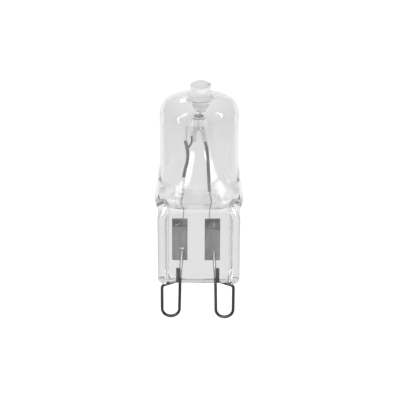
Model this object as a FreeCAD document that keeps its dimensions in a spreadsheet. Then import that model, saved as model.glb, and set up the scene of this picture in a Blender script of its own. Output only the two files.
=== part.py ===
import FreeCAD, Part
import math
import os

import Sketcher
from FreeCAD import Placement, Rotation, Vector

# A clear quartz capsule bulb with two wire contact loops.
# X runs across the two loops, Y through the flat press, Z along the bulb to the exhaust tip.
# The origin is at the middle of the press's lower end. Lengths are in millimetres.
doc = FreeCAD.newDocument("capsule_bulb")
sheet = doc.addObject("Spreadsheet::Sheet", "Sizes")

driving_sizes = {
    # glass tube, dome and exhaust tip
    "tube_diameter": "12.6",
    "glass_wall": "1.0",
    "tube_length": "9.4",
    "dome_height": "3.05",
    "dome_corner": "2.0",
    "tip_diameter": "3.1",
    "tip_height": "1.95",
    "tip_chamfer": "0.4",
    # glass pip that hangs from the inside of the dome and holds the support wire
    "pip_root_width": "3.8",
    "pip_tip_width": "1.7",
    "pip_drop": "1.9",
    # flat press that seals the foils
    "press_width": "13.4",
    "press_height": "12.4",
    "press_corner": "0.9",
    "web_thickness": "2.6",
    "ridge_height": "0.7",
    "ridge_width": "1.3",
    "ridge_flank": "0.35",
    "ridge_round": "0.55",
    "recess_runout": "2.4",
    "recess_margin": "0.6",
    # change from flat press to round tube, in ovals whose ends turn through the same angle
    "waist_inset": "0.15",
    "shoulder_flare": "0.4",
    "shoulder_rise": "2.8",
    "neck_rise": "5.4",
    "neck_strips": "8",
    "neck_ease": "1.35",
    "oval_turn": "80",
    "floor_depth": "1.0",
    "floor_rise": "0.9",
    # contact loops
    "loop_spacing": "9.0",
    "loop_width": "2.95",
    "loop_depth": "7.1",
    "contact_wire": "0.5",
    "wire_sides": "12",
    "elbow_drop": "1.35",
    "elbow_bend": "0.7",
    "stub_drop": "0.3",
    "stub_bend": "0.4",
    "stub_gap": "0.1",
    "stub_depth": "2.5",
    # sealing foils, with the mount a little off the bulb's middle
    "mount_shift": "-0.45",
    "foil_spacing": "5.3",
    "foil_width": "2.55",
    "foil_cover": "1.05",
    "foil_thickness": "0.05",
    "foil_rise": "3.65",
    "contact_weld": "1.9",
    "contact_flat": "0.06",
    # filament with its two legs, two coils and bridge
    "leg_wire": "0.16",
    "leg_inset": "0.5",
    "leg_weld": "1.3",
    "leg_flat": "0.02",
    "leg_rise": "0.3",
    "leg_kink": "0.3",
    "leg_bend": "0.25",
    "coil_diameter": "0.62",
    "coil_groove": "0.08",
    "coil_length": "9.5",
    "coil_turns": "24",
    "coil_sides": "8",
    "coil_rise": "2.1",
    "coil_lean": "0.5",
    "coil_joint": "0.15",
    "bridge_width": "2.0",
    "bridge_rise": "2.1",
    "bridge_knee": "0.5",
    "bridge_bend": "0.5",
    # hooked support wire under the dome
    "support_wire": "0.22",
    "support_seal": "1.0",
    "hook_gap": "0.02",
    "hook_return": "0.5",
}

worked_out_sizes = {
    "tube_radius": "=tube_diameter / 2",
    "bore_radius": "=tube_radius - glass_wall",
    "shoulder_level": "=press_height + shoulder_rise",
    "neck_level": "=shoulder_level + neck_rise / 2",
    "tube_level": "=shoulder_level + neck_rise",
    "spring_level": "=tube_level + tube_length",
    "dome_level": "=spring_level + dome_height",
    "tip_level": "=dome_level + tip_height",
    "crown_radius": "=((tube_radius - dome_corner)^2 + dome_height^2 - dome_corner^2)"
                    " / (2 * (dome_height - dome_corner))",
    "crown_level": "=dome_level - crown_radius",
    "corner_reach": "=(tube_radius - dome_corner) / (crown_radius - dome_corner)",
    "corner_climb": "=(spring_level - crown_level) / (crown_radius - dome_corner)",
    "outer_corner_x": "=crown_radius * corner_reach",
    "outer_corner_z": "=crown_level + crown_radius * corner_climb",
    "inner_crown": "=crown_radius - glass_wall",
    "inner_corner_x": "=inner_crown * corner_reach",
    "inner_corner_z": "=crown_level + inner_crown * corner_climb",
    "inner_dome_level": "=dome_level - glass_wall",
    "pip_root": "=pip_root_width / 2",
    "pip_root_level": "=crown_level + sqrt(inner_crown^2 - pip_root^2)",
    "pip_tip": "=pip_tip_width / 2",
    "pip_level": "=inner_dome_level - pip_drop",
    "tip_radius": "=tip_diameter / 2",
    "tip_flat": "=tip_radius - tip_chamfer",
    "tip_side_top": "=tip_level - tip_chamfer",
    "tip_root": "=crown_level + sqrt(crown_radius^2 - tip_radius^2)",
    "press_half": "=press_width / 2",
    "press_foot": "=press_half - press_corner",
    "web_half": "=web_thickness / 2",
    "ridge_half": "=web_half + ridge_height",
    "ridge_thickness": "=ridge_half * 2",
    "ridge_side": "=ridge_half - ridge_round",
    "ridge_outer": "=press_half - ridge_round",
    "ridge_inner": "=press_half - ridge_width",
    "web_edge": "=ridge_inner - ridge_flank",
    "web_width": "=web_edge * 2",
    "recess_top": "=press_height + recess_runout",
    "recess_outer": "=ridge_half + recess_margin",
    "floor_level": "=press_height + floor_rise",
    "floor_half": "=floor_depth / 2",
    "flare_depth": "=tube_radius - ridge_half",
    "flare_rise": "=shoulder_rise + neck_rise",
    "wedge_shoulder": "=ridge_half + flare_depth"
                      " * (1 - cos(180deg * (shoulder_rise / flare_rise)^neck_ease)) / 2 - glass_wall",
    "wedge_neck": "=ridge_half + flare_depth"
                  " * (1 - cos(180deg * ((shoulder_rise + neck_rise / 2) / flare_rise)^neck_ease)) / 2"
                  " - glass_wall",
    "wedge_top": "=bore_radius + glass_wall / 4",
    "foil_top": "=press_height - foil_cover",
    "foil_height": "=foil_top - foil_rise",
    "contact_weld_top": "=foil_rise + contact_weld",
    "foil_front": "=contact_wire / 2 - contact_flat",
    "foil_back": "=foil_front + foil_thickness",
    "leg_depth": "=foil_back + leg_wire / 2 - leg_flat",
    "leg_weld_foot": "=foil_top - leg_weld",
    "coil_foot": "=floor_level + coil_rise",
    "coil_top": "=coil_foot + coil_length",
    "bridge_level": "=coil_top + bridge_rise",
}


def fill_sheet():
    rows = list(driving_sizes.items()) + list(worked_out_sizes.items())
    for row, (name, content) in enumerate(rows, start=1):
        sheet.set(f"A{row}", name)
        sheet.set(f"B{row}", content)
        sheet.setAlias(f"B{row}", name)
    doc.recompute()


def size(name):
    return float(sheet.get(name))


# A place in a sketch is the name of a size, "-" and the name, or "0" on the axis.
def place(name):
    if name == "0":
        return 0.0
    if name.startswith("-"):
        return -size(name[1:])
    return size(name)


def expression(name):
    return "-Sizes." + name[1:] if name.startswith("-") else "Sizes." + name


def origin_plane(body, role):
    return next(item for item in body.Origin.OriginFeatures if item.Role == role)


def new_sketch(body, name, role):
    sketch = body.newObject("Sketcher::SketchObject", name)
    sketch.AttachmentSupport = [(origin_plane(body, role), "")]
    sketch.MapMode = "FlatFace"
    return sketch


def pin_vertex(sketch, edge, vertex, corner):
    for axis, kind, name in ((-2, "DistanceX", corner[0]), (-1, "DistanceY", corner[1])):
        if name == "0":
            sketch.addConstraint(Sketcher.Constraint("PointOnObject", edge, vertex, axis))
        else:
            rule = sketch.addConstraint(Sketcher.Constraint(kind, edge, vertex, place(name)))
            sketch.setExpression(f"Constraints[{rule}]", expression(name))


# The arc from start to end that turns left (turn 1) or right (turn -1) with the given radius.
def arc_between(start, end, radius, turn):
    chord = end - start
    middle = (start + end) / 2
    away = math.sqrt(max(radius**2 - (chord.Length / 2) ** 2, 0.0))
    left = Vector(-chord.y, chord.x, 0).normalize()
    centre = middle + left * away * turn
    first, last = (start, end) if turn > 0 else (end, start)
    angles = [math.atan2(point.y - centre.y, point.x - centre.x) for point in (first, last)]
    return Part.ArcOfCircle(Part.Circle(centre, Vector(0, 0, 1), radius), angles[0], angles[1])


# A closed outline. Each corner is (x, y), or (x, y, radius, turn) where an arc leaves it.
def draw_outline(sketch, corners):
    points = [Vector(place(corner[0]), place(corner[1]), 0) for corner in corners]
    ends = []
    for number, corner in enumerate(corners):
        start, end = points[number], points[(number + 1) % len(corners)]
        if len(corner) == 2:
            edge = sketch.addGeometry(Part.LineSegment(start, end))
            ends.append((edge, 1, 2))
            continue
        radius, turn = corner[2], corner[3]
        edge = sketch.addGeometry(arc_between(start, end, place(radius), turn))
        ends.append((edge, 1, 2) if turn > 0 else (edge, 2, 1))
        rule = sketch.addConstraint(Sketcher.Constraint("Radius", edge, place(radius)))
        sketch.setExpression(f"Constraints[{rule}]", expression(radius))
    for number, (edge, first, last) in enumerate(ends):
        following = ends[(number + 1) % len(ends)]
        sketch.addConstraint(Sketcher.Constraint("Coincident", edge, last, following[0], following[1]))
        pin_vertex(sketch, edge, first, corners[number])


def revolved_body(name, corners):
    body = doc.addObject("PartDesign::Body", name)
    sketch = new_sketch(body, name + "_profile", "XZ_Plane")
    draw_outline(sketch, corners)
    turned = body.newObject("PartDesign::Revolution", name + "_revolution")
    turned.Profile = sketch
    turned.ReferenceAxis = (sketch, ["V_Axis"])
    turned.Angle = 360
    return body


def padded_body(name, role, corners, length, midplane=False):
    body = doc.addObject("PartDesign::Body", name)
    sketch = new_sketch(body, name + "_outline", role)
    draw_outline(sketch, corners)
    pad = body.newObject("PartDesign::Pad", name + "_pad")
    pad.Profile = sketch
    pad.setExpression("Length", expression(length))
    pad.Midplane = midplane
    return body


def joined(name, pieces):
    union = doc.addObject("Part::MultiFuse", name)
    union.Shapes = pieces
    return union


def trimmed(name, base, tool):
    cut = doc.addObject("Part::Cut", name)
    cut.Base = base
    cut.Tool = tool
    return cut


# One level of the glass: an oval of four tangent arcs whose ends turn through a given angle.
def glass_section(name, level, half_width, half_depth):
    turn = math.radians(size("oval_turn"))
    cosine, sine = math.cos(turn), math.sin(turn)
    end_radius = (half_depth * cosine - half_width * (1 - sine)) / (sine + cosine - 1)
    joint_x = half_width - end_radius * (1 - cosine)
    joint_y = end_radius * sine
    signs = ((1, -1), (1, 1), (-1, 1), (-1, -1))
    joints = [Vector(across * joint_x, along * joint_y, level) for across, along in signs]
    middles = [
        Vector(half_width, 0, level),
        Vector(0, half_depth, level),
        Vector(-half_width, 0, level),
        Vector(0, -half_depth, level),
    ]
    arcs = [Part.Arc(joints[n], middles[n], joints[(n + 1) % 4]).toShape() for n in range(4)]
    section = doc.addObject("Part::Feature", name)
    section.Shape = Part.Wire(arcs)
    return section


# The glass flares from the waist above the press to the shoulder and rounds off into the tube.
def make_neck():
    waist = size("press_half") - size("waist_inset")
    shoulder = size("press_half") + size("shoulder_flare")
    tube = size("tube_radius")
    shoulder_rise, neck_rise = size("shoulder_rise"), size("neck_rise")
    strips = int(size("neck_strips"))
    sections = []
    for strip in range(strips + 1):
        share = strip / strips
        climb = share * (shoulder_rise + neck_rise)
        if climb < shoulder_rise:
            flare = math.sin(math.pi / 2 * climb / shoulder_rise)
            half_width = waist + (shoulder - waist) * flare
        else:
            narrowing = (1 - math.cos(math.pi * (climb - shoulder_rise) / neck_rise)) / 2
            half_width = shoulder + (tube - shoulder) * narrowing
        bulge = (1 - math.cos(math.pi * share ** size("neck_ease"))) / 2
        half_depth = size("ridge_half") + size("flare_depth") * bulge
        name = f"neck_section_{strip}"
        sections.append(glass_section(name, size("press_height") + climb, half_width, half_depth))
    neck = doc.addObject("Part::Loft", "neck")
    neck.Sections = sections
    neck.Solid = True
    neck.Ruled = True
    return trimmed("recessed_neck", neck, make_recess())


# The flat faces between the ridges run out up the neck on a slope, front and back.
def make_recess():
    runs = []
    for side, sign in (("front", "-"), ("back", "")):
        runs.append(
            padded_body(
                side + "_recess",
                "YZ_Plane",
                [
                    (sign + "web_half", "press_height"),
                    (sign + "recess_outer", "press_height"),
                    (sign + "recess_outer", "recess_top"),
                ],
                "web_width",
                midplane=True,
            )
        )
    return joined("recess", runs)


# The bore narrows like a wedge towards the press, down to a flat floor.
def make_cavity():
    bore = revolved_body(
        "bore",
        [
            ("0", "floor_level"),
            ("bore_radius", "floor_level"),
            ("bore_radius", "spring_level"),
            ("inner_corner_x", "inner_corner_z"),
            ("pip_root", "pip_root_level"),
            ("pip_tip", "pip_level"),
            ("0", "pip_level"),
        ],
    )
    wedge = padded_body(
        "wedge",
        "YZ_Plane",
        [
            ("-floor_half", "floor_level"),
            ("floor_half", "floor_level"),
            ("wedge_shoulder", "shoulder_level"),
            ("wedge_neck", "neck_level"),
            ("wedge_top", "tube_level"),
            ("wedge_top", "dome_level"),
            ("-wedge_top", "dome_level"),
            ("-wedge_top", "tube_level"),
            ("-wedge_neck", "neck_level"),
            ("-wedge_shoulder", "shoulder_level"),
        ],
        "tube_diameter",
        midplane=True,
    )
    cavity = doc.addObject("Part::Common", "cavity")
    cavity.Base = bore
    cavity.Tool = wedge
    return cavity


# A wire's run through points (x, y, z, bend), with a tangent arc of that bend at each inner point.
def wire_run(name, points):
    stops = [Vector(*point[:3]) for point in points]
    edges = []
    reached = stops[0]
    for number in range(1, len(stops) - 1):
        corner = stops[number]
        back = (stops[number - 1] - corner).normalize()
        onward = (stops[number + 1] - corner).normalize()
        half_angle = back.getAngle(onward) / 2
        bend = points[number][3]
        setback = bend / math.tan(half_angle)
        arc_start, arc_end = corner + back * setback, corner + onward * setback
        inward = (back + onward).normalize()
        arc_middle = corner + inward * (bend / math.sin(half_angle) - bend)
        if (arc_start - reached).Length > 1e-6:
            edges.append(Part.LineSegment(reached, arc_start).toShape())
        edges.append(Part.Arc(arc_start, arc_middle, arc_end).toShape())
        reached = arc_end
    edges.append(Part.LineSegment(reached, stops[-1]).toShape())
    run = doc.addObject("Part::Feature", name + "_run")
    run.Shape = Part.Wire(edges)
    return run


def bent_wire(name, points, diameter):
    run = wire_run(name, points)
    section = doc.addObject("Part::RegularPolygon", name + "_section")
    section.setExpression("Polygon", "Sizes.wire_sides")
    section.setExpression("Circumradius", expression(diameter) + " / 2 / cos(180deg / Sizes.wire_sides)")
    start = Vector(*points[0][:3])
    heading = Vector(*points[1][:3]) - start
    section.Placement = Placement(start, Rotation(Vector(0, 0, 1), heading))
    wire = doc.addObject("Part::Sweep", name + "_wire")
    wire.Sections = [section]
    wire.Spine = (run, [f"Edge{number + 1}" for number in range(len(run.Shape.Edges))])
    wire.Solid = True
    return wire


# A block that flattens the wires where they are welded to the foils.
def weld_block(name, foot, top, front):
    block = doc.addObject("Part::Box", name)
    block.setExpression("Length", "Sizes.press_width")
    block.setExpression("Width", "Sizes.contact_wire")
    block.setExpression("Height", f"{top} - {foot}")
    block.setExpression(".Placement.Base.x", "-Sizes.press_half")
    block.setExpression(".Placement.Base.y", front)
    block.setExpression(".Placement.Base.z", foot)
    return block


def make_contact_loop(side, sign, seat):
    inner = size("loop_spacing") / 2 - size("loop_width") / 2
    outer = inner + size("loop_width")
    foot = size("contact_wire") / 2 - size("loop_depth")
    half_loop = size("loop_width") / 2
    stub = inner + size("contact_wire") + size("stub_gap")
    points = [
        (inner, 0, size("contact_weld_top"), 0),
        (inner, 0, foot, half_loop),
        (outer, 0, foot, half_loop),
        (outer, 0, -size("elbow_drop"), size("elbow_bend")),
        (stub, 0, -size("stub_drop"), size("stub_bend")),
        (stub, 0, size("stub_depth"), 0),
    ]
    points = [(sign * x, y, z, bend) for x, y, z, bend in points]
    wire = bent_wire(side + "_contact", points, "contact_wire")
    return trimmed(side + "_contact_loop", wire, seat)


def make_foil(side, sign):
    foil = doc.addObject("Part::Box", side + "_foil")
    foil.setExpression("Length", "Sizes.foil_width")
    foil.setExpression("Width", "Sizes.foil_thickness")
    foil.setExpression("Height", "Sizes.foil_height")
    middle = f"Sizes.mount_shift + {sign} * Sizes.foil_spacing / 2"
    foil.setExpression(".Placement.Base.x", middle + " - Sizes.foil_width / 2")
    foil.setExpression(".Placement.Base.y", "Sizes.foil_front")
    foil.setExpression(".Placement.Base.z", "Sizes.foil_rise")
    return foil


# A close-wound coil as one rod whose turns stand out as ribs, leaning from its foot to its top.
def make_coil(side, foot, top):
    turns = int(size("coil_turns"))
    sides = int(size("coil_sides"))
    length = (top - foot).Length
    crest = size("coil_diameter") / 2
    groove = crest - size("coil_groove")
    angles = [2 * math.pi * number / sides for number in range(sides + 1)]
    rings = []
    for step in range(2 * turns + 1):
        radius = crest if step % 2 else groove
        level = length * step / (2 * turns)
        rings.append([Vector(radius * math.cos(a), radius * math.sin(a), level) for a in angles])
    faces = [Part.Face(Part.makePolygon(ring)) for ring in (rings[0], rings[-1])]
    for lower, upper in zip(rings, rings[1:]):
        for n in range(sides):
            corners = [lower[n], lower[n + 1], upper[n + 1], upper[n], lower[n]]
            faces.append(Part.Face(Part.makePolygon(corners)))
    coil = doc.addObject("Part::Feature", side + "_coil")
    coil.Shape = Part.makeSolid(Part.makeShell(faces))
    coil.Placement = Placement(foot, Rotation(Vector(0, 0, 1), top - foot))
    return coil


def make_filament():
    depth = size("leg_depth")
    shift = size("mount_shift")
    joint = size("coil_joint")
    coil_foot, coil_top = size("coil_foot"), size("coil_top")
    floor = size("floor_level")
    seat = weld_block(
        "leg_seat", "Sizes.leg_weld_foot", "Sizes.foil_top", "Sizes.foil_back - Sizes.contact_wire"
    )
    pieces = []
    tops = []
    for side, sign in (("left", -1), ("right", 1)):
        leg_x = shift + sign * (size("foil_spacing") / 2 - size("leg_inset"))
        kink_x = leg_x + sign * size("leg_kink")
        top_x = leg_x - sign * size("coil_lean")
        bend = size("leg_bend")
        points = [
            (leg_x, depth, size("leg_weld_foot"), 0),
            (leg_x, depth, floor + size("leg_rise"), bend),
            (kink_x, depth, (floor + coil_foot) / 2, bend),
            (leg_x, depth, coil_foot + joint, 0),
        ]
        leg = bent_wire(side + "_leg", points, "leg_wire")
        pieces.append(trimmed(side + "_welded_leg", leg, seat))
        pieces.append(make_coil(side, Vector(leg_x, depth, coil_foot), Vector(top_x, depth, coil_top)))
        tops.append(top_x)
    knee = coil_top + size("bridge_knee")
    level = size("bridge_level")
    half_bridge = size("bridge_width") / 2
    bend = size("bridge_bend")
    points = [
        (tops[0], depth, coil_top - joint, 0),
        (tops[0], depth, knee, bend),
        (shift - half_bridge, depth, level, bend),
        (shift + half_bridge, depth, level, bend),
        (tops[1], depth, knee, bend),
        (tops[1], depth, coil_top - joint, 0),
    ]
    pieces.append(bent_wire("bridge", points, "leg_wire"))
    return joined("filament", pieces)


# The hook passes under the bridge, and its stem is sealed in the glass pip below the tip.
def make_support():
    reach = size("leg_wire") / 2 + size("support_wire") / 2 + size("hook_gap")
    middle = size("leg_depth")
    level = size("bridge_level")
    points = [
        (0, middle + reach, size("inner_dome_level") + size("support_seal"), 0),
        (0, middle + reach, level - reach, reach),
        (0, middle - reach, level - reach, reach),
        (0, middle - reach, level + size("hook_return"), 0),
    ]
    hook = bent_wire("support", points, "support_wire")
    hook.Label = "support_wire"
    return hook


def make_envelope(metal):
    outer_tube = revolved_body(
        "outer_tube",
        [
            ("0", "tube_level"),
            ("tube_radius", "tube_level"),
            ("tube_radius", "spring_level", "dome_corner", 1),
            ("outer_corner_x", "outer_corner_z", "crown_radius", 1),
            ("tip_radius", "tip_root"),
            ("tip_radius", "tip_side_top"),
            ("tip_flat", "tip_level"),
            ("0", "tip_level"),
        ],
    )
    right_half = [
        ("press_half", "-ridge_side"),
        ("press_half", "ridge_side", "ridge_round", 1),
        ("ridge_outer", "ridge_half"),
        ("ridge_inner", "ridge_half"),
        ("web_edge", "web_half"),
    ]
    left_half = [
        ("-web_edge", "web_half"),
        ("-ridge_inner", "ridge_half"),
        ("-ridge_outer", "ridge_half", "ridge_round", 1),
        ("-press_half", "ridge_side"),
        ("-press_half", "-ridge_side", "ridge_round", 1),
        ("-ridge_outer", "-ridge_half"),
        ("-ridge_inner", "-ridge_half"),
        ("-web_edge", "-web_half"),
        ("web_edge", "-web_half"),
        ("ridge_inner", "-ridge_half"),
        ("ridge_outer", "-ridge_half", "ridge_round", 1),
    ]
    ribbed_press = padded_body("ribbed_press", "XY_Plane", right_half + left_half, "press_height")
    front_outline = padded_body(
        "press_front",
        "XZ_Plane",
        [
            ("-press_foot", "0"),
            ("press_foot", "0", "press_corner", 1),
            ("press_half", "press_corner"),
            ("press_half", "press_height"),
            ("-press_half", "press_height"),
            ("-press_half", "press_corner", "press_corner", 1),
        ],
        "ridge_thickness",
        midplane=True,
    )
    press = doc.addObject("Part::Common", "press")
    press.Base = ribbed_press
    press.Tool = front_outline

    blank = joined("glass_blank", [outer_tube, make_neck(), press])
    hollow = trimmed("hollow_glass", blank, make_cavity())
    inserts = joined("sealed_metal", metal)
    return trimmed("envelope", hollow, inserts)


def write_parts(parts):
    doc.recompute()
    for item in doc.Objects:
        if "Invalid" in item.State or "Error" in item.State:
            raise RuntimeError(f"{item.Name} failed: {item.State}")
    os.makedirs("parts", exist_ok=True)
    for part in parts:
        if part.Shape.isNull() or not part.Shape.isValid():
            raise RuntimeError(f"{part.Label} has no valid shape")
        print(part.Label, len(part.Shape.Solids), "solid", round(part.Shape.Volume, 4), "mm3")
    for part in parts:
        part.Shape.exportStep(f"parts/{part.Label}.step")


fill_sheet()
contact_seat = weld_block(
    "contact_seat", "Sizes.foil_rise", "Sizes.foil_top", "Sizes.foil_front"
)
loops = [make_contact_loop("left", -1, contact_seat), make_contact_loop("right", 1, contact_seat)]
foils = [make_foil("left", -1), make_foil("right", 1)]
filament = make_filament()
support = make_support()
metal = loops + foils + [filament, support]
envelope = make_envelope(metal)
write_parts(metal + [envelope])
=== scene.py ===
import bmesh
import bpy
import math
from mathutils import Matrix, Vector, noise


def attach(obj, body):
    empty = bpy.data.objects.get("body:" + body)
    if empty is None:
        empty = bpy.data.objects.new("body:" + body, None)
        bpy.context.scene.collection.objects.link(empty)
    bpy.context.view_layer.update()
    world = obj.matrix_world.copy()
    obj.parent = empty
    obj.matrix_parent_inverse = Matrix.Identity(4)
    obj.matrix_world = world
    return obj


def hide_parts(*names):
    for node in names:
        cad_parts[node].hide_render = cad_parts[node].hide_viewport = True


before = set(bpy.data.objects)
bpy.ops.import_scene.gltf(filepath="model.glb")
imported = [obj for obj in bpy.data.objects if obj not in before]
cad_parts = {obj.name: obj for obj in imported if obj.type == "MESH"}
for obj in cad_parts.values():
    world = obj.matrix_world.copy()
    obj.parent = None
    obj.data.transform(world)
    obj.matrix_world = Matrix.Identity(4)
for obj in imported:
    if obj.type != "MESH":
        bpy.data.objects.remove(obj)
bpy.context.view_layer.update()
mm = 0.001  # every length below is in millimetres until it goes into a mesh or a shader
print("frame loaded:", ", ".join(sorted(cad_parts)))


# one stretch of a smooth curve, between two values with their slopes
def smoothStretch(t, start, slopeStart, end, slopeEnd):
    return (start * (2 * t**3 - 3 * t**2 + 1) + slopeStart * (t**3 - 2 * t**2 + t)
            + end * (3 * t**2 - 2 * t**3) + slopeEnd * (t**3 - t**2))


# smooth reading of a table of (level, value) rows
def readTable(table, level):
    if level <= table[0][0]:
        return table[0][1]
    for n in range(len(table) - 1):
        low, high = table[n], table[n + 1]
        if level > high[0]:
            continue
        before = table[n - 1] if n else low
        after = table[n + 2] if n + 2 < len(table) else high
        span = high[0] - low[0]
        slopeLow = (high[1] - before[1]) / (high[0] - before[0]) * span
        slopeHigh = (after[1] - low[1]) / (after[0] - low[0]) * span
        return smoothStretch((level - low[0]) / span, low[1], slopeLow, high[1], slopeHigh)
    return table[-1][1]


# a smooth line through given points
def smoothRun(stops, steps=10):
    points = [Vector(stop) for stop in stops]
    run = []
    for n in range(len(points) - 1):
        before = points[max(n - 1, 0)]
        after = points[min(n + 2, len(points) - 1)]
        slopeStart = (points[n + 1] - before) / 2
        slopeEnd = (after - points[n]) / 2
        for step in range(steps):
            run.append(smoothStretch(step / steps, points[n], slopeStart, points[n + 1], slopeEnd))
    run.append(points[-1])
    return run


def easeBetween(low, high, value):
    t = min(max((value - low) / (high - low), 0.0), 1.0)
    return t * t * (3 - 2 * t)


# points at given shares of a polyline's length
def sharePoints(line, shares):
    reach = [0.0]
    for a, b in zip(line, line[1:]):
        reach.append(reach[-1] + (b - a).length)
    points = []
    leg = 0
    for share in shares:
        want = share * reach[-1]
        while leg < len(line) - 2 and reach[leg + 1] < want:
            leg += 1
        along = (want - reach[leg]) / max(reach[leg + 1] - reach[leg], 1e-9)
        points.append(line[leg].lerp(line[leg + 1], min(max(along, 0.0), 1.0)))
    return points


# a wire's run with a tangent arc at each inner point (x, y, z, bend)
def bentRun(stops, steps=12):
    corners = [Vector(stop[:3]) for stop in stops]
    run = [corners[0]]
    for n in range(1, len(corners) - 1):
        back = (corners[n - 1] - corners[n]).normalized()
        onward = (corners[n + 1] - corners[n]).normalized()
        half = back.angle(onward) / 2
        bend = stops[n][3]
        start = corners[n] + back * bend / math.tan(half)
        centre = corners[n] + (back + onward).normalized() * bend / math.sin(half)
        pivot = back.cross(onward)
        sweep = math.pi - 2 * half
        for step in range(steps + 1):
            run.append(centre + Matrix.Rotation(-sweep * step / steps, 3, pivot) @ (start - centre))
    run.append(corners[-1])
    return run


# a closed skin over a stack of rings, in one of the piece's finishes
def addRings(bm, rings, inward=False, finish=0):
    made = [[bm.verts.new(point * mm) for point in ring] for ring in rings]
    count = len(rings[0])
    quads = []
    for low, high in zip(made, made[1:]):
        for n in range(count):
            quads.append([low[n], low[(n + 1) % count], high[(n + 1) % count], high[n]])
    for corners in quads + [made[0][::-1], made[-1]]:
        bm.faces.new(corners[::-1] if inward else corners).material_index = finish


# a round wire along a run
def addWire(bm, run, radius, sides=14, finish=0):
    rings = []
    side = (run[1] - run[0]).normalized().orthogonal().normalized()
    for n, point in enumerate(run):
        ahead = (run[min(n + 1, len(run) - 1)] - run[max(n - 1, 0)]).normalized()
        side = (side - ahead * side.dot(ahead)).normalized()
        up = ahead.cross(side)
        rings.append([point + (side * math.cos(a) + up * math.sin(a)) * radius
                      for a in (2 * math.pi * k / sides for k in range(sides))])
    addRings(bm, rings, finish=finish)


def finishPiece(name, bm, finishes, node):
    mesh = bpy.data.meshes.new(name)
    bm.to_mesh(mesh)
    bm.free()
    for face in mesh.polygons:
        face.use_smooth = True
    for material in finishes:
        mesh.materials.append(material)
    piece = bpy.data.objects.new(name, mesh)
    bpy.context.collection.objects.link(piece)
    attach(piece, "root")
    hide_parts(node)
    print(name, len(mesh.polygons), "faces")


# shader helpers
def newMaterial(name):
    material = bpy.data.materials.new(name)
    material.use_nodes = True
    nodes, links = material.node_tree.nodes, material.node_tree.links
    return material, nodes, links, nodes["Principled BSDF"]


def rampNode(nodes, stops):
    ramp = nodes.new("ShaderNodeValToRGB")
    first, last = ramp.color_ramp.elements
    first.position, last.position = stops[0][0], stops[-1][0]
    first.color, last.color = (*stops[0][1], 1), (*stops[-1][1], 1)
    for place, colour in stops[1:-1]:
        ramp.color_ramp.elements.new(place).color = (*colour, 1)
    return ramp


# a value moved from one range to another, and held at its ends
def rangeNode(nodes, links, source, start, end, low=0.0, high=1.0):
    node = nodes.new("ShaderNodeMapRange")
    for name, value in (("From Min", start), ("From Max", end), ("To Min", low), ("To Max", high)):
        node.inputs[name].default_value = value
    links.new(source, node.inputs["Value"])
    return node.outputs["Result"]


# one step of arithmetic on sockets and plain numbers
def mathNode(nodes, links, operation, *values):
    node = nodes.new("ShaderNodeMath")
    node.operation = operation
    for n, value in enumerate(values):
        if isinstance(value, (int, float)):
            node.inputs[n].default_value = value
        else:
            links.new(value, node.inputs[n])
    return node.outputs["Value"]


# drawn-wire grain: streaks along Z with fine specks, shared by the metals
def makeGrainGroup():
    group = bpy.data.node_groups.new("drawnGrain", "ShaderNodeTree")
    for name, default in (("Streak Scale", 900.0), ("Speck Scale", 9000.0), ("Stretch", 0.06)):
        socket = group.interface.new_socket(name, in_out="INPUT", socket_type="NodeSocketFloat")
        socket.default_value = default
    for name in ("Streaks", "Specks"):
        group.interface.new_socket(name, in_out="OUTPUT", socket_type="NodeSocketFloat")
    nodes, links = group.nodes, group.links
    inlet, outlet = nodes.new("NodeGroupInput"), nodes.new("NodeGroupOutput")
    coordinates = nodes.new("ShaderNodeTexCoord")
    stretch = nodes.new("ShaderNodeCombineXYZ")
    stretch.inputs["X"].default_value = 1
    stretch.inputs["Y"].default_value = 1
    links.new(inlet.outputs["Stretch"], stretch.inputs["Z"])
    squeezed = nodes.new("ShaderNodeVectorMath")
    squeezed.operation = "MULTIPLY"
    links.new(coordinates.outputs["Object"], squeezed.inputs[0])
    links.new(stretch.outputs["Vector"], squeezed.inputs[1])
    streaks = nodes.new("ShaderNodeTexNoise")
    links.new(squeezed.outputs["Vector"], streaks.inputs["Vector"])
    links.new(inlet.outputs["Streak Scale"], streaks.inputs["Scale"])
    specks = nodes.new("ShaderNodeTexNoise")
    links.new(coordinates.outputs["Object"], specks.inputs["Vector"])
    links.new(inlet.outputs["Speck Scale"], specks.inputs["Scale"])
    links.new(streaks.outputs["Fac"], outlet.inputs["Streaks"])
    links.new(specks.outputs["Fac"], outlet.inputs["Specks"])
    return group


grainGroup = makeGrainGroup()
grainDepth = 0.02


def metalMaterial(name, values):
    material, nodes, links, shader = newMaterial(name)
    grain = nodes.new("ShaderNodeGroup")
    grain.node_tree = grainGroup
    grain.inputs["Streak Scale"].default_value = values["streakScale"]
    grain.inputs["Speck Scale"].default_value = values["speckScale"]
    grain.inputs["Stretch"].default_value = values["stretch"]
    colours = rampNode(nodes, [(0.3, values["dark"]), (0.7, values["light"])])
    links.new(grain.outputs["Streaks"], colours.inputs["Fac"])
    links.new(colours.outputs["Color"], shader.inputs["Base Color"])
    rough = rangeNode(nodes, links, grain.outputs["Specks"], 0, 1, values["smooth"], values["rough"])
    links.new(rough, shader.inputs["Roughness"])
    bump = nodes.new("ShaderNodeBump")
    bump.inputs["Strength"].default_value = values["bump"]
    bump.inputs["Distance"].default_value = grainDepth * mm
    links.new(grain.outputs["Streaks"], bump.inputs["Height"])
    links.new(bump.outputs["Normal"], shader.inputs["Normal"])
    shader.inputs["Metallic"].default_value = values["metallic"]
    return material


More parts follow.
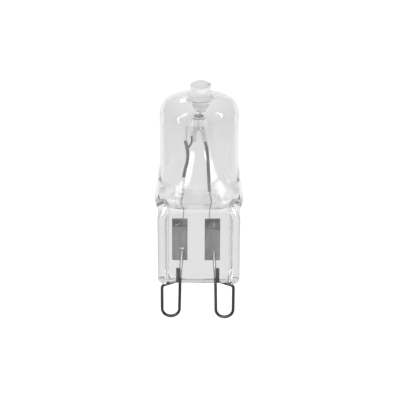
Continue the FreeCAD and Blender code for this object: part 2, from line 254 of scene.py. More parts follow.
# quartz glass: a stack of level rings for the outside and one for the cavity; the tables have rows of
# (level, size), and the tip and the pip below it have rows of (radius, level)
glassValues = {
    "pressHalf": 6.7, "cornerRadius": 0.9, "edgeRadius": 0.35, "footSag": 0.25, "sagReach": 2.5,
    "webHalf": 1.3, "ridgeHalf": 2.0, "ridgeInner": 5.6, "webEdge": 5.0, "ridgeRound": 0.55,
    "footLevels": [0.02, 0.06, 0.12, 0.2, 0.3, 0.45, 0.65, 0.9], "pressStep": 0.49, "pressSteps": 22,
    "neckLevel": 11.8, "neckSteps": 48, "ridgeRunOut": (11.9, 14.9), "cavitySteps": 40, "tubeSteps": 9,
    "halfWidth": [(11.7, 6.69), (12.4, 6.56), (13.1, 6.7), (13.8, 6.98), (14.6, 7.06), (15.9, 7.05),
                  (16.6, 6.93), (18.0, 6.75), (19.4, 6.55), (20.6, 6.36), (21.6, 6.3)],
    "halfDepth": [(11.7, 1.33), (12.4, 1.36), (12.9, 1.42), (13.35, 1.52), (13.75, 1.68), (14.15, 1.87),
                  (14.6, 2.14), (15.2, 2.57), (16.2, 3.37), (17.2, 4.17), (18.2, 4.92), (19.2, 5.55),
                  (20.2, 6.0), (21.0, 6.22), (21.6, 6.3)],
    "flatHalf": [(11.7, 5.2), (12.4, 4.7), (13.0, 3.6), (13.4, 2.7), (13.8, 1.8), (14.4, 0.8),
                 (15.2, 0.2), (16.2, 0.0), (21.6, 0.0)],
    "pinch": [(13.35, 1.5), (14.6, 1.55), (15.6, 1.5), (16.6, 1.3), (17.6, 1.12), (18.6, 1.03),
              (19.4, 1.0)],
    "cavityWidth": [(13.35, 4.6), (13.5, 4.9), (13.7, 5.2), (14.2, 5.65), (15.2, 6.15), (16.0, 6.3),
                    (17.0, 6.2), (18.0, 6.05), (19.4, 5.9), (20.6, 5.75), (21.6, 5.7)],
    "cavityDepth": [(13.35, 0.03), (13.75, 0.27), (14.15, 0.55), (14.6, 0.9), (15.2, 1.42), (16.2, 2.32),
                    (17.2, 3.2), (18.2, 4.05), (19.2, 4.8), (20.2, 5.35), (21.0, 5.62), (21.6, 5.7)],
    "floorBumps": {"height": 0.14, "scale": 1.3, "place": 4.2, "across": (1.8, 3.0),
                   "levels": (13.4, 14.6)},
    "tubeRadius": 6.3, "wall": 0.6, "tubeLevel": 21.6, "springLevel": 30.0, "corner": 2.0,
    "crown": 11.33, "crownLevel": 21.72, "crownEnd": 0.19,
    "tip": [(1.98, 32.9), (1.8, 32.97), (1.66, 33.1), (1.58, 33.3), (1.54, 33.6), (1.56, 33.95),
            (1.62, 34.35), (1.63, 34.6), (1.55, 34.82), (1.3, 34.95), (0.9, 35.0), (0.5, 34.97),
            (0.2, 34.94)],
    "tipShift": 0.2, "tipLean": (32.8, 33.4),
    "tipLumps": {"amount": 0.09, "scale": 0.9, "place": 3.1, "levels": (32.9, 33.5)},
    "pip": [(1.9, 32.2), (1.75, 32.05), (1.6, 31.8), (1.4, 31.4), (1.2, 31.0), (1.0, 30.6), (0.8, 30.3),
            (0.5, 30.1), (0.2, 30.05)],
    "waves": {"height": 0.006, "across": 0.55, "up": 0.35, "seed": 7, "outside": 1.7, "inside": 8.3},
}
quarterShares = [n / 46 for n in range(47)]


def pressQuarter():
    g = glassValues
    flat = g["pressHalf"] - g["ridgeRound"]
    line = [Vector((g["pressHalf"], y, 0)) for y in (0, g["ridgeHalf"] - g["ridgeRound"])]
    for step in range(1, 7):
        a = math.pi / 2 * step / 6
        line.append(Vector((g["pressHalf"] - g["ridgeRound"] * (1 - math.cos(a)),
                            g["ridgeHalf"] - g["ridgeRound"] * (1 - math.sin(a)), 0)))
    for step in range(1, 13):  # the ridge falls softly to the web
        x = flat - step / 12 * (flat - g["webEdge"])
        rise = (g["ridgeHalf"] - g["webHalf"]) * easeBetween(g["webEdge"], g["ridgeInner"], x)
        line.append(Vector((x, g["webHalf"] + rise, 0)))
    line.append(Vector((0, g["webHalf"], 0)))
    return line


# a pinch above 1 draws the section in to the shape of a lens
def ovalQuarter(halfWidth, halfDepth, flatHalf, pinch=1.0):
    line = []
    for step in range(61):
        a = math.pi / 2 * step / 60
        x = flatHalf + (halfWidth - flatHalf) * math.cos(a)
        line.append(Vector((x, halfDepth * math.sin(a)**pinch, 0)))
    line.append(Vector((0, halfDepth, 0)))
    return line


def fullRing(quarter, level):
    ring = list(quarter)
    ring += [Vector((-p.x, p.y, 0)) for p in quarter[-2::-1]]
    ring += [Vector((-p.x, -p.y, 0)) for p in quarter[1:]]
    ring += [Vector((p.x, -p.y, 0)) for p in quarter[-2:0:-1]]
    return [Vector((p.x, p.y, level)) for p in ring]


def roundRing(radius, level, shift=0.0):
    ring = fullRing(sharePoints(ovalQuarter(1, 1, 0), quarterShares), 0)
    return [Vector((p.x * radius + shift, p.y * radius, level)) for p in ring]


# one section of the neck, from the tables that the outside or the cavity follows
def neckQuarter(widths, depths, level):
    g = glassValues
    oval = ovalQuarter(readTable(g[widths], level), readTable(g[depths], level),
                       max(readTable(g["flatHalf"], level), 0.0), readTable(g["pinch"], level))
    return sharePoints(oval, quarterShares)


# the straight tube and the dome: a rounded corner, then a flat crown
def tubeAndDome(wall):
    g = glassValues
    rise = (g["springLevel"] - g["tubeLevel"]) / g["tubeSteps"]
    rows = [(g["tubeRadius"] - wall, g["tubeLevel"] + rise * step) for step in range(1, g["tubeSteps"])]
    reach = g["tubeRadius"] - g["corner"]
    split = math.asin(reach / (g["crown"] - g["corner"]))
    for step in range(15):
        a = (math.pi / 2 - split) * step / 14
        rows.append((reach + (g["corner"] - wall) * math.cos(a),
                     g["springLevel"] + (g["corner"] - wall) * math.sin(a)))
    crown = g["crown"] - wall
    for step in range(1, 11):
        a = split - (split - g["crownEnd"]) * step / 10
        rows.append((crown * math.sin(a), g["crownLevel"] + crown * math.cos(a)))
    return [roundRing(radius, level) for radius, level in rows]


# how far an edge of this radius has drawn in at a level above the foot
def roundedInset(radius, level):
    return radius - math.sqrt(radius**2 - (radius - level)**2) if level < radius else 0.0


def outsideRings():
    g = glassValues
    pressPoints = sharePoints(pressQuarter(), quarterShares)
    rings = []
    foot = g["footLevels"]
    for level in foot + [foot[-1] + g["pressStep"] * n for n in range(1, g["pressSteps"] + 1)]:
        ring = fullRing(pressPoints, level)
        for p in ring:
            p.x *= 1 - roundedInset(g["cornerRadius"], level) / g["pressHalf"]
            p.y *= 1 - roundedInset(g["edgeRadius"], level) / g["ridgeHalf"]
            sag = g["footSag"] * (1 - (p.x / g["pressHalf"])**2)
            p.z -= sag * (1 - easeBetween(0, g["sagReach"], level))
        rings.append(ring)
    for step in range(g["neckSteps"] + 1):  # press and ridges run out into the round neck
        level = g["neckLevel"] + (g["tubeLevel"] - g["neckLevel"]) * step / g["neckSteps"]
        change = easeBetween(*g["ridgeRunOut"], level)
        narrow = readTable(g["halfWidth"], level) / g["pressHalf"]
        oval = neckQuarter("halfWidth", "halfDepth", level)
        quarter = [Vector((p.x * narrow, p.y, 0)).lerp(o, change) for p, o in zip(pressPoints, oval)]
        rings.append(fullRing(quarter, level))
    rings += tubeAndDome(0.0)
    lumps = g["tipLumps"]
    for radius, level in g["tip"]:
        shift = g["tipShift"] * easeBetween(*g["tipLean"], level)
        ring = roundRing(radius, level, shift)
        for p in ring:  # the nub was pinched off by hand, so it is a little lumpy
            lump = noise.noise(Vector((p.x, p.y, p.z)) * lumps["scale"] + Vector((lumps["place"], 0, 0)))
            grow = 1 + lumps["amount"] * lump * easeBetween(*lumps["levels"], level)
            p.x, p.y = (p.x - shift) * grow + shift, p.y * grow
        rings.append(ring)
    return rings


def cavityRings():
    g = glassValues
    bumps = g["floorBumps"]
    floor = g["cavityDepth"][0][0]
    rings = []
    for step in range(g["cavitySteps"] + 1):  # the rings lie closer towards the floor
        level = floor + (g["tubeLevel"] - floor) * (step / g["cavitySteps"])**1.5
        ring = fullRing(neckQuarter("cavityWidth", "cavityDepth", level), level)
        for p in ring:  # the pinched floor is uneven towards its ends
            bump = noise.noise(Vector((p.x * bumps["scale"], bumps["place"], 0)))
            bump *= easeBetween(*bumps["across"], abs(p.x))
            p.z += bumps["height"] * bump * (1 - easeBetween(*bumps["levels"], level))
        rings.append(ring)
    rings += tubeAndDome(g["wall"])
    return rings + [roundRing(radius, level, g["tipShift"]) for radius, level in g["pip"]]


# drawn glass is never quite even
def ripple(rings, place):
    waves = glassValues["waves"]
    for ring in rings:
        for p in ring:
            spot = Vector((p.x * waves["across"] + place, p.y * waves["across"], p.z * waves["up"]))
            p += noise.noise_vector(spot) * waves["height"]


# the finish: greys go by height as a share of 35 mm, zones give where a mask starts and where it is full
quartzValues = {
    "ior": 1.46, "filmScale": 160, "filmDetail": 3, "filmShift": 0.06, "filmRough": 0.03, "height": 35,
    "greys": [(0.0, (0.6, 0.605, 0.6)), (0.395, (0.6, 0.605, 0.6)), (0.415, (0.77, 0.775, 0.77)),
              (0.7, (0.78, 0.784, 0.78)), (0.86, (0.75, 0.754, 0.75)), (0.92, (0.75, 0.754, 0.75)),
              (0.98, (0.97, 0.97, 0.97))],
    "zones": {"pressFlank": (6.2, 6.6), "belowShoulder": (12.6, 11.8), "aboveFoils": (10.5, 12.0),
              "nearTip": (2.6, 2.0), "underTip": (29.8, 31.5), "tipNub": (32.8, 33.6),
              "domeMiddle": (2.6, 1.8), "upperDome": (27.5, 29.0)},
    # the edge and flank values set painted shade that darkens the glass's colour
    "edgeTurn": 0.55, "edgeShade": 0.75, "flankShade": 0.28, "tipHaze": 0.55, "nubHaze": 0.5,
    # dullGleam is the grey specular tint, painted shade on the dome's reflections
    "dullGleam": 0.08, "passing": 0.85, "bounces": 1.5,
}


def glassMaterial():
    q = quartzValues
    material, nodes, links, shader = newMaterial("clearQuartz")
    shader.inputs["Transmission Weight"].default_value = 1
    shader.inputs["IOR"].default_value = q["ior"]
    spot = nodes.new("ShaderNodeTexCoord").outputs["Object"]
    axes = nodes.new("ShaderNodeSeparateXYZ")
    links.new(spot, axes.inputs["Vector"])
    level = axes.outputs["Z"]
    sideways = mathNode(nodes, links, "ABSOLUTE", axes.outputs["X"])
    film = nodes.new("ShaderNodeTexNoise")
    film.inputs["Scale"].default_value = q["filmScale"]
    film.inputs["Detail"].default_value = q["filmDetail"]
    links.new(spot, film.inputs["Vector"])

    def zone(name, source, low=0.0, high=1.0):
        start, full = q["zones"][name]
        return rangeNode(nodes, links, source, start * mm, full * mm, low, high)

    def both(first, second):
        return mathNode(nodes, links, "MULTIPLY", first, second)

    # the solid press looks as grey as the hollow tube
    share = rangeNode(nodes, links, level, 0, q["height"] * mm)
    tint = rampNode(nodes, q["greys"])
    place = mathNode(nodes, links, "MULTIPLY_ADD", film.outputs["Fac"], q["filmShift"], share)
    links.new(place, tint.inputs["Fac"])

    # painted shade: the glass's colour is darkened where it is seen edge on, and along the press's outer
    # sides
    rim = nodes.new("ShaderNodeLayerWeight")
    rim.inputs["Blend"].default_value = 0.5
    edge = rangeNode(nodes, links, rim.outputs["Facing"], q["edgeTurn"], 1, 1, q["edgeShade"])
    flank = both(zone("pressFlank", sideways), zone("belowShoulder", level, high=q["flankShade"]))
    shaded = nodes.new("ShaderNodeVectorMath")
    shaded.operation = "SCALE"
    links.new(tint.outputs["Color"], shaded.inputs[0])
    links.new(mathNode(nodes, links, "SUBTRACT", edge, flank), shaded.inputs["Scale"])
    links.new(shaded.outputs["Vector"], shader.inputs["Base Color"])

    # the flame left the tip and its root a little hazy
    across = nodes.new("ShaderNodeVectorMath")
    across.operation = "MULTIPLY_ADD"
    across.inputs[1].default_value = (1, 1, 0)
    across.inputs[2].default_value = (-glassValues["tipShift"] * mm, 0, 0)
    links.new(spot, across.inputs[0])
    outward = nodes.new("ShaderNodeVectorMath")
    outward.operation = "LENGTH"
    links.new(across.outputs["Vector"], outward.inputs[0])
    root = both(zone("nearTip", outward.outputs["Value"]), zone("underTip", level, high=q["tipHaze"]))
    haze = both(root, zone("tipNub", level, 1, q["nubHaze"]))
    rough = rangeNode(nodes, links, film.outputs["Fac"], 0, 1, 0, q["filmRough"])
    links.new(mathNode(nodes, links, "ADD", rough, haze), shader.inputs["Roughness"])

    # painted shade on the reflections: a grey specular tint makes the dome's middle gleam less
    dull = both(zone("domeMiddle", sideways), zone("upperDome", level))
    links.new(rangeNode(nodes, links, dull, 0, 1, 1, q["dullGleam"]), shader.inputs["Specular Tint"])

    # lamps reach what stands behind the glass, and light caught in the thick shoulder gets out again
    rays = nodes.new("ShaderNodeLightPath")
    caught = mathNode(nodes, links, "GREATER_THAN", rays.outputs["Glossy Depth"], q["bounces"])
    freed = both(caught, zone("aboveFoils", level))
    passing = mathNode(nodes, links, "MAXIMUM", rays.outputs["Is Shadow Ray"], haze)
    clear = nodes.new("ShaderNodeBsdfTransparent")
    clear.inputs["Color"].default_value = (q["passing"], q["passing"], q["passing"], 1)
    mix = nodes.new("ShaderNodeMixShader")
    links.new(mathNode(nodes, links, "MAXIMUM", passing, freed), mix.inputs["Fac"])
    links.new(shader.outputs["BSDF"], mix.inputs[1])
    links.new(clear.outputs["BSDF"], mix.inputs[2])
    links.new(mix.outputs["Shader"], nodes["Material Output"].inputs["Surface"])
    return material


noise.seed_set(glassValues["waves"]["seed"])  # the same waves each time
bm = bmesh.new()
outside, inside = outsideRings(), cavityRings()
ripple(outside, glassValues["waves"]["outside"])
ripple(inside, glassValues["waves"]["inside"])
addRings(bm, outside)
addRings(bm, inside, inward=True)
finishPiece("bulbGlass", bm, [glassMaterial()], "envelope")


# contact loops of drawn wire: oxidised outside, bright where the glass covers the lead
loopValues = {
    "wire": 0.25, "inner": 3.05, "outer": 5.9, "foot": {"left": -7.15, "right": -7.3}, "bend": 1.425,
    "elbow": -1.35, "elbowBend": 0.7, "stub": (3.3, -0.43), "stubTop": 2.35, "stubTurn": -0.2,
    "stubBend": 0.4, "leadTop": (2.55, 5.55), "leadKnee": (2.9, 0.6), "kneeBend": 3.0, "shift": -0.155,
    "sealLevel": 0.15, "sealedFront": -0.315, "sealedHalf": 3.2,
}
drawnWire = {"streakScale": 2500.0, "speckScale": 12000.0, "stretch": 0.05, "bump": 0.3, "metallic": 0.9}
oxidisedWire = metalMaterial("oxidisedWire", {
    "dark": (0.018, 0.017, 0.016), "light": (0.06, 0.057, 0.054), "smooth": 0.3, "rough": 0.5,
    **drawnWire})
sealedWire = metalMaterial("sealedWire", {
    "dark": (0.17, 0.17, 0.17), "light": (0.4, 0.4, 0.395), "smooth": 0.25, "rough": 0.45,
    **drawnWire})


# the lead, the loop and the stub as corners (x, y, z, bend) of the right-hand wire
def loopStops(side):
    v = loopValues
    foot, top, knee, stub = v["foot"][side], v["leadTop"], v["leadKnee"], v["stub"]
    return [(top[0], 0, top[1], 0), (knee[0], 0, knee[1], v["kneeBend"]),
            (v["inner"], 0, foot, v["bend"]), (v["outer"], 0, foot, v["bend"]),
            (v["outer"], 0, v["elbow"], v["elbowBend"]),
            (*stub, v["stubTurn"], v["stubBend"]), (*stub, v["stubTop"], 0)]


for side, sign in (("left", -1), ("right", 1)):
    v = loopValues
    bm = bmesh.new()
    run = bentRun([(sign * x + v["shift"], y, z, bend) for x, y, z, bend in loopStops(side)])
    addWire(bm, run, v["wire"])
    for face in bm.faces:
        middle = face.calc_center_median() / mm
        inLead = middle.y > v["sealedFront"] and abs(middle.x - v["shift"]) < v["sealedHalf"]
        if inLead and middle.z > v["sealLevel"]:
            face.material_index = 1
    finishPiece(side + "ContactWire", bm, [oxidisedWire, sealedWire],
                side + "_contact_loop")


# sealing foils: thin etched strips, a folded weld tab at the top and the lead's weld below
foilValues = {
    "middle": {"left": -3.1, "right": 2.2}, "width": 2.5, "foot": 3.65, "top": 11.35, "depth": 0.215,
    "thick": 0.05, "thinEdge": 0.08, "rows": 60, "waves": {"height": 0.03, "across": 0.8, "up": 0.7},
    "tabFoot": {"left": 9.85, "right": 9.4}, "tabTop": 11.33, "tabProud": 0.09, "tabRows": 24,
    "tabSlant": {"left": 0.0, "right": -0.35}, "tabWaves": {"height": 0.06, "across": 1.6, "up": 1.7},
    "weld": {"left": (-2.75, 5.75, 0.42), "right": (2.38, 5.35, 0.34)}, "weldProud": 0.05,
    "weldFlat": 0.5, "weldTall": 0.8, "beadProud": 0.19, "beadRadius": 0.07,
    "beads": {"left": [(-0.75, 10.15), (-0.3, 10.25), (0.0, 10.6)],
              "right": [(0.1, 10.05), (0.4, 10.3), (0.15, 10.55)]},
}
etchedFoil = metalMaterial("etchedFoil", {
    "dark": (0.115, 0.117, 0.117), "light": (0.19, 0.193, 0.193), "smooth": 0.4, "rough": 0.62,
    "streakScale": 1500.0, "speckScale": 9000.0, "stretch": 0.25, "bump": 0.3, "metallic": 0.6})
foldedTab = metalMaterial("foldedTab", {
    "dark": (0.045, 0.045, 0.046), "light": (0.15, 0.152, 0.152), "smooth": 0.3, "rough": 0.6,
    "streakScale": 1100.0, "speckScale": 6000.0, "stretch": 0.8, "bump": 0.6, "metallic": 0.7})
weldMetal = metalMaterial("weldMetal", {
    "dark": (0.22, 0.22, 0.215), "light": (0.4, 0.4, 0.395), "smooth": 0.3, "rough": 0.5,
    "streakScale": 3000.0, "speckScale": 9000.0, "stretch": 1.0, "bump": 0.4, "metallic": 0.8})


# a wavy strip of foil between two levels, thinned out at its etched edges
def foilStrip(bm, middle, foot, top, rows, waves, place=0.0, proud=0.0, slant=0.0, finish=0):
    v = foilValues
    rings = []
    for row in range(rows + 1):
        front, back = [], []
        for column in range(21):
            across = column / 20 - 0.5
            x = middle + across * v["width"]
            low = foot + slant * across
            level = low + (top - low) * row / rows
            spot = Vector((x * waves["across"], place, level * waves["up"]))
            wave = waves["height"] * noise.noise(spot)
            thick = v["thick"] / 2 * max(1 - abs(2 * across)**6, v["thinEdge"])
            front.append(Vector((x, v["depth"] - proud + wave - thick, level)))
            back.append(Vector((x, v["depth"] - proud + wave + thick, level)))
        rings.append(front + back[::-1])
    addRings(bm, rings, finish=finish)


# a low lump of weld metal on the foil's front
def weldLump(bm, x, level, radius, finish):
    v = foilValues
    rings = []
    for step in range(1, 9):
        a = math.pi * step / 9
        size = radius * math.sin(a)
        y = v["depth"] - v["weldProud"] - v["weldFlat"] * radius * math.cos(a)
        rings.append([Vector((x + size * math.cos(t), y, level + v["weldTall"] * size * math.sin(t)))
                      for t in (2 * math.pi * k / 14 for k in range(14))])
    addRings(bm, rings, finish=finish)


for side in ("left", "right"):
    v = foilValues
    bm = bmesh.new()
    middle = v["middle"][side]
    foilStrip(bm, middle, v["foot"], v["top"], v["rows"], v["waves"])
    foilStrip(bm, middle, v["tabFoot"][side], v["tabTop"], v["tabRows"], v["tabWaves"],
              place=middle, proud=v["tabProud"], slant=v["tabSlant"][side], finish=1)
    weldLump(bm, *v["weld"][side], finish=2)
    squiggle = smoothRun([(middle + x, v["depth"] - v["beadProud"], z) for x, z in v["beads"][side]])
    addWire(bm, squiggle, v["beadRadius"], sides=8, finish=2)
    finishPiece(side + "Foil", bm, [etchedFoil, foldedTab, weldMetal], side + "_foil")


# filament: two close-wound coils; the tail, the bridge and the left foot are wound open and are painted
# lighter with a paler copy of the same tungsten
filamentValues = {
    "depth": 0.3, "turnPoints": 12,
    "wires": {
        "leftLeg": [(-2.6, 10.1), (-2.55, 11.4), (-2.45, 13.1), (-2.75, 13.8), (-2.6, 15.1)],
        "rightLeg": [(1.7, 10.1), (1.69, 11.4), (1.71, 12.8), (1.9, 14.4), (1.73, 15.2), (1.7, 15.6)],
        "bridgeFoot": [(-1.97, 23.8), (-1.7, 23.95), (-1.35, 24.4), (-1.15, 25.1), (-1.2, 25.8)],
    },
    "thickness": {"leftLeg": 0.06, "rightLeg": 0.06, "bridgeFoot": 0.15},
    "closeCoils": {
        "leftCoil": [(-2.5, 18.4), (-2.2, 20.2), (-1.85, 21.8), (-1.92, 23.5), (-2.2, 25.0)],
        "rightCoil": [(1.68, 15.4), (1.57, 18.4), (1.45, 20.4), (1.42, 22.0), (1.2, 23.6), (0.92, 24.9)],
    },
    "closeWinding": {"radius": 0.21, "strand": 0.075, "pitch": 0.19},
    "openCoils": {
        "leftOpen": [(-2.6, 15.0), (-2.53, 16.6), (-2.5, 18.5)],
        "leftTail": [(-2.2, 24.9), (-2.15, 25.8), (-2.12, 26.6), (-2.05, 27.3)],
        "bridge": [(-0.85, 24.7), (-0.88, 25.8), (-0.75, 26.8), (-0.25, 27.1), (0.3, 27.0), (0.6, 26.5),
                   (0.72, 25.7), (0.85, 24.9)],
    },
    "openWinding": {
        "leftOpen": {"radius": 0.17, "strand": 0.035, "pitch": 0.3},
        "leftTail": {"radius": 0.2, "strand": 0.035, "pitch": 0.4},
        "bridge": {"radius": 0.34, "strand": 0.036, "pitch": 0.34},
    },
}
woundWire = {"smooth": 0.3, "rough": 0.5, "streakScale": 4000.0, "speckScale": 15000.0, "stretch": 0.5,
             "bump": 0.2, "metallic": 0.9}
tungsten = metalMaterial("woundTungsten", {
    "dark": (0.09, 0.087, 0.085), "light": (0.2, 0.195, 0.19), **woundWire})
# painted light: the same tungsten in a paler colour for the open windings
paleLitTungsten = metalMaterial("paleLitTungsten", {
    "dark": (0.2, 0.198, 0.195), "light": (0.42, 0.415, 0.41), **woundWire})


def filamentRun(stops, steps=10):
    return smoothRun([(x, filamentValues["depth"], z) for x, z in stops], steps)


def addCoil(bm, stops, winding, finish=0):
    axis = filamentRun(stops, steps=40)
    length = sum((b - a).length for a, b in zip(axis, axis[1:]))
    perTurn = filamentValues["turnPoints"]
    count = int(length / winding["pitch"]) * perTurn
    points = sharePoints(axis, [k / count for k in range(count + 1)])
    helix = []
    for n, point in enumerate(points):
        ahead = (points[min(n + 1, count)] - points[max(n - 1, 0)]).normalized()
        across = Vector((0, 1, 0)).cross(ahead)
        angle = 2 * math.pi * n / perTurn
        outward = across * math.cos(angle) + Vector((0, math.sin(angle), 0))
        helix.append(point + outward * winding["radius"])
    addWire(bm, helix, winding["strand"], sides=6, finish=finish)


bm = bmesh.new()
for name, stops in filamentValues["wires"].items():
    addWire(bm, filamentRun(stops), filamentValues["thickness"][name], sides=8)
for stops in filamentValues["closeCoils"].values():
    addCoil(bm, stops, filamentValues["closeWinding"])
for name, stops in filamentValues["openCoils"].items():
    addCoil(bm, stops, filamentValues["openWinding"][name], finish=1)
finishPiece("filamentWinding", bm, [tungsten, paleLitTungsten], "filament")


# support under the dome: a ring below the pip and a fine hook down to the bridge
supportValues = {
    "wire": 0.07, "hookWire": 0.022, "x": -0.05, "depth": 0.3, "ring": 29.15, "ringHalf": (0.88, 0.6),
    "stem": [(0.5, 0.3, 30.5), (0.5, 0.3, 30.15), (0.3, 0.5, 29.75), (0.15, 0.6, 29.2)],
    "hook": [(0.0, 0.6, 29.2), (-0.1, 0.45, 28.2), (-0.1, 0.35, 27.4), (-0.1, 0.1, 27.0),
             (-0.1, -0.25, 27.1)],
}
v = supportValues
bm = bmesh.new()
turn = []
for n in range(25):  # one closed turn
    a = math.pi / 2 + 2 * math.pi * n / 24
    wide, deep = v["ringHalf"]
    turn.append(Vector((v["x"] + wide * math.cos(a), v["depth"] + deep * math.sin(a), v["ring"])))
addWire(bm, turn, v["wire"], sides=8)
for name, wire in (("stem", v["wire"]), ("hook", v["hookWire"])):
    addWire(bm, smoothRun([(v["x"] + x, v["depth"] + y, z) for x, y, z in v[name]]), wire, sides=8)
finishPiece("supportHook", bm, [tungsten], "support_wire")


# floor, light and camera; a window's rows are (one edge, other edge, elevation) and a hoop's stops are
# (azimuth, elevation), in degrees around the bulb, with azimuth 0 at the front
stageValues = {
    "floorHalf": 1500, "floorLevel": -7.57, "floorColour": (0.22, 0.22, 0.22), "floorGlow": 0.87,
    "worldShown": 1.0, "worldLighting": 0.6, "lightReach": 200,
    "windows": {
        "rightWindow": [(20, 30, 6), (12, 29, 17), (13, 28, 27), (12, 29, 36), (16, 31, 43),
                        (18, 33, 49), (19, 32, 54)],
        "leftWindow": [(-33, -20, 5), (-33, -15, 11), (-34, -14, 25), (-37, -17, 33), (-39, -22, 41),
                       (-40, -25, 48), (-37, -25, 53)],
    },
    "windowCentre": 18, "windowGlow": 14,
    "hoops": {
        "leftHoop": [(-57, 5), (-62, 14), (-75, 40), (-93, 61), (-120, 65), (-140, 65)],
        "rightHoop": [(135, 61), (110, 52), (85, 42), (77, 30), (80, 5)],
    },
    "hoopCentre": 31, "hoopRadius": 5, "hoopGlow": 12, "glowColour": (0.8, 0.8, 0.8),
    "backBox": {"place": (-60, 200, 165), "target": (0, 0, 30), "size": (24, 16), "glow": 14},
    "cards": {
        "LowCard": {"x": 22, "y": (4, 30), "z": (-7, 3.5), "glow": 0.15},
        "HighCard": {"x": 24, "y": (-12, 60), "z": (-7, 45), "glow": 1.12},
    },
    "cardColour": (0.02, 0.02, 0.02),
    "elevation": 27.0, "distance": 290.9, "aim": (0.16, 0.0, 14.53), "focal": 162.4, "roll": 0.24,
}


# one strength for rays that show the background, another for rays that light the object
def seenDirect(nodes, links, shown, lighting):
    rays = nodes.new("ShaderNodeLightPath").outputs
    first = mathNode(nodes, links, "MAXIMUM", rays["Is Camera Ray"], rays["Is Glossy Ray"])
    seen = mathNode(nodes, links, "MAXIMUM", first, rays["Is Transmission Ray"])
    return rangeNode(nodes, links, seen, 0, 1, lighting, shown)


# a matt item of the stage that may give off light
def stageItem(name, mesh, finish, colour, glow):
    item = bpy.data.objects.new(name, mesh)
    bpy.context.collection.objects.link(item)
    material, nodes, links, shader = newMaterial(finish)
    shader.inputs["Base Color"].default_value = (*colour, 1)
    shader.inputs["Roughness"].default_value = 1.0
    shader.inputs["Specular IOR Level"].default_value = 0.0
    shader.inputs["Emission Color"].default_value = (1, 1, 1, 1)
    shader.inputs["Emission Strength"].default_value = glow
    mesh.materials.append(material)
    return item, nodes, links, shader


# a light or a card that the camera doesn't see
def unseenItem(name, mesh, finish, colour, glow):
    item = stageItem(name, mesh, finish, colour, glow)[0]
    item.visible_camera = False
    return item


def flatMesh(name, points, faces):
    mesh = bpy.data.meshes.new(name)
    mesh.from_pydata([Vector(point) * mm for point in points], [], faces)
    return mesh


def makeFloor():
    v = stageValues
    half, level = v["floorHalf"], v["floorLevel"]
    corners = [(-half, -half, level), (half, -half, level), (half, half, level), (-half, half, level)]
    mesh = flatMesh("studioFloor", corners, [(0, 1, 2, 3)])
    floor, nodes, links, shader = stageItem("studioFloor", mesh, "paleFloor", v["floorColour"], 0.0)
    links.new(seenDirect(nodes, links, v["floorGlow"], 0.0), shader.inputs["Emission Strength"])


def makeWorld():
    v = stageValues
    world = bpy.data.worlds.new("studioWorld")
    world.use_nodes = True
    nodes, links = world.node_tree.nodes, world.node_tree.links
    strength = seenDirect(nodes, links, v["worldShown"], v["worldLighting"])
    links.new(strength, nodes["Background"].inputs["Strength"])
    nodes["Background"].inputs["Color"].default_value = (1, 1, 1, 1)
    bpy.context.scene.world = world


def makeBackBox():
    v = stageValues["backBox"]
    lamp = bpy.data.lights.new("backBox", "AREA")
    lamp.shape = "ELLIPSE"
    lamp.size, lamp.size_y = v["size"][0] * mm, v["size"][1] * mm
    lamp.energy = v["glow"] * math.pi * lamp.size * lamp.size_y
    item = bpy.data.objects.new("backBox", lamp)
    item.location = Vector(v["place"]) * mm
    item.visible_camera = False
    item.rotation_euler = (Vector(v["target"]) - Vector(v["place"])).to_track_quat("-Z", "Y").to_euler()
    bpy.context.collection.objects.link(item)


# a point around a level of the bulb's axis, by its azimuth from the front and its elevation
def aroundBulb(turn, lift, centre):
    a, e = math.radians(turn), math.radians(lift)
    away = Vector((math.sin(a) * math.cos(e), -math.cos(a) * math.cos(e), math.sin(e)))
    return away * stageValues["lightReach"] + Vector((0, 0, centre))


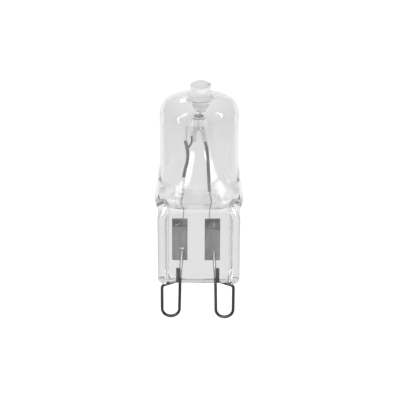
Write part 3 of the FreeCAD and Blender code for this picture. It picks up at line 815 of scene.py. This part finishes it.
# a bright window in front of the bulb
def makeWindow(name, rows):
    v = stageValues
    points, faces = [], []
    for n, (oneEdge, otherEdge, lift) in enumerate(rows):
        points += [aroundBulb(turn, lift, v["windowCentre"]) for turn in (oneEdge, otherEdge)]
        if n:
            faces.append((2 * n - 2, 2 * n - 1, 2 * n + 1, 2 * n))
    mesh = flatMesh(name, points, faces)
    unseenItem(name, mesh, name + "Glow", v["glowColour"], v["windowGlow"])


# a bright bow beside the bulb
def makeHoop(name, stops):
    v = stageValues
    bm = bmesh.new()
    bow = smoothRun([(turn, lift, 0) for turn, lift in stops])
    addWire(bm, [aroundBulb(spot.x, spot.y, v["hoopCentre"]) for spot in bow], v["hoopRadius"], sides=8)
    mesh = bpy.data.meshes.new(name)
    bm.to_mesh(mesh)
    bm.free()
    unseenItem(name, mesh, name + "Glow", v["glowColour"], v["hoopGlow"])


# a grey card beside the bulb, which draws the edges of the clear glass
def makeCard(name, sign, card):
    x = sign * card["x"]
    (front, back), (low, high) = card["y"], card["z"]
    corners = [(x, front, low), (x, back, low), (x, back, high), (x, front, high)]
    mesh = flatMesh(name, corners, [(0, 1, 2, 3)])
    item = unseenItem(name, mesh, name + "Paper", stageValues["cardColour"], card["glow"])
    item.visible_diffuse = False
    item.visible_shadow = False


def makeCamera():
    v = stageValues
    lift = math.radians(v["elevation"])
    away = Vector((0, -math.cos(lift), math.sin(lift)))
    camera = bpy.data.objects.new("photoCamera", bpy.data.cameras.new("photoCamera"))
    camera.data.lens = v["focal"]
    camera.data.sensor_width = 36
    camera.data.clip_start = 0.01
    camera.location = (Vector(v["aim"]) + away * v["distance"]) * mm
    facing = (-away).to_track_quat("-Z", "Y").to_matrix().to_4x4()
    roll = Matrix.Rotation(math.radians(v["roll"]), 4, "Z")
    camera.rotation_euler = (facing @ roll).to_euler()
    bpy.context.collection.objects.link(camera)
    bpy.context.scene.camera = camera


makeFloor()
makeWorld()
for name, rows in stageValues["windows"].items():
    makeWindow(name, rows)
makeBackBox()
for name, stops in stageValues["hoops"].items():
    makeHoop(name, stops)
for side, sign in (("left", -1), ("right", 1)):
    for name, card in stageValues["cards"].items():
        makeCard(side + name, sign, card)
makeCamera()
bpy.context.scene.view_settings.view_transform = "Standard"
print("stage ready")
